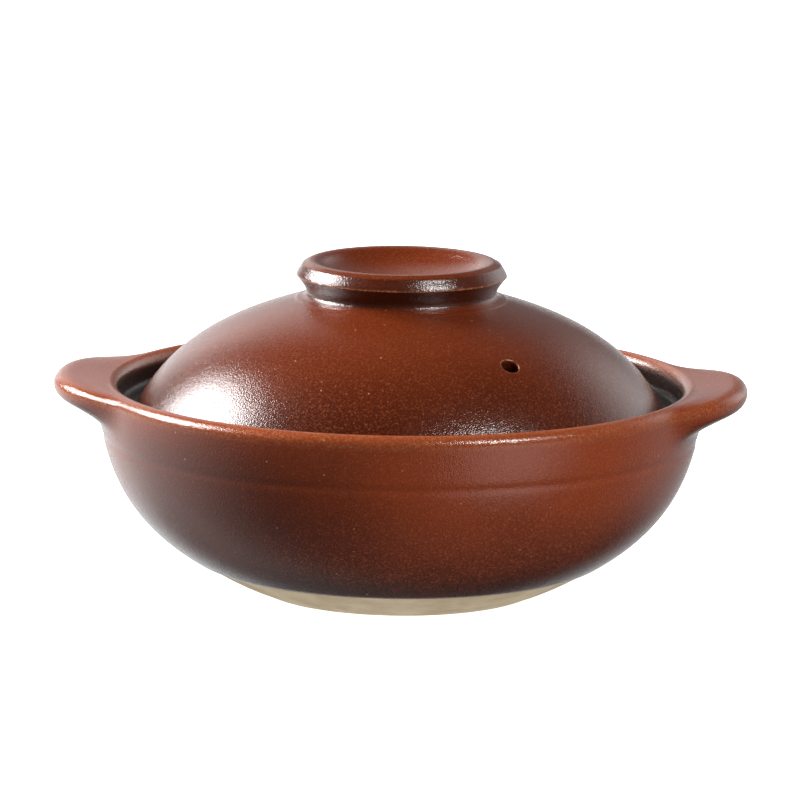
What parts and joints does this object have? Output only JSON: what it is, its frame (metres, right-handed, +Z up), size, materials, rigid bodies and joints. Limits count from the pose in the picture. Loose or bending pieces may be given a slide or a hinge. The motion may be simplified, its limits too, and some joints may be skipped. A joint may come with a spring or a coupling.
{
  "type": "clay pot",
  "caption": "Shallow round glazed clay casserole with lug handles at the lip, a gallery inside it, and a lift-off domed lid with a dish knob and a steam vent.",
  "frame": {"origin": "centre of the flat foot, on the table", "axes": "+X through the handles, +Z up through the knob, -Y towards the side that the vent faces"},
  "size_m": [0.287, 0.25, 0.137],
  "materials": {
    "bowl": "glossy iron-brown glaze, bare clay foot",
    "handle_left": "glossy iron-brown glaze",
    "handle_right": "glossy iron-brown glaze",
    "lid_dome": "glossy iron-brown glaze",
    "lid_knob": "glossy iron-brown glaze"
  },
  "bodies": {
    "pot": {"bowl": "bowl", "handle_left": "handle_left", "handle_right": "handle_right"},
    "lid": {"lid_dome": "lid_dome", "lid_knob": "lid_knob"}
  },
  "joints": [
    {"name": "lid_lift", "type": "slide", "parent": "pot", "child": "lid", "axis": [0, 0, 1], "range_m": [0, 0.15]}
  ]
}
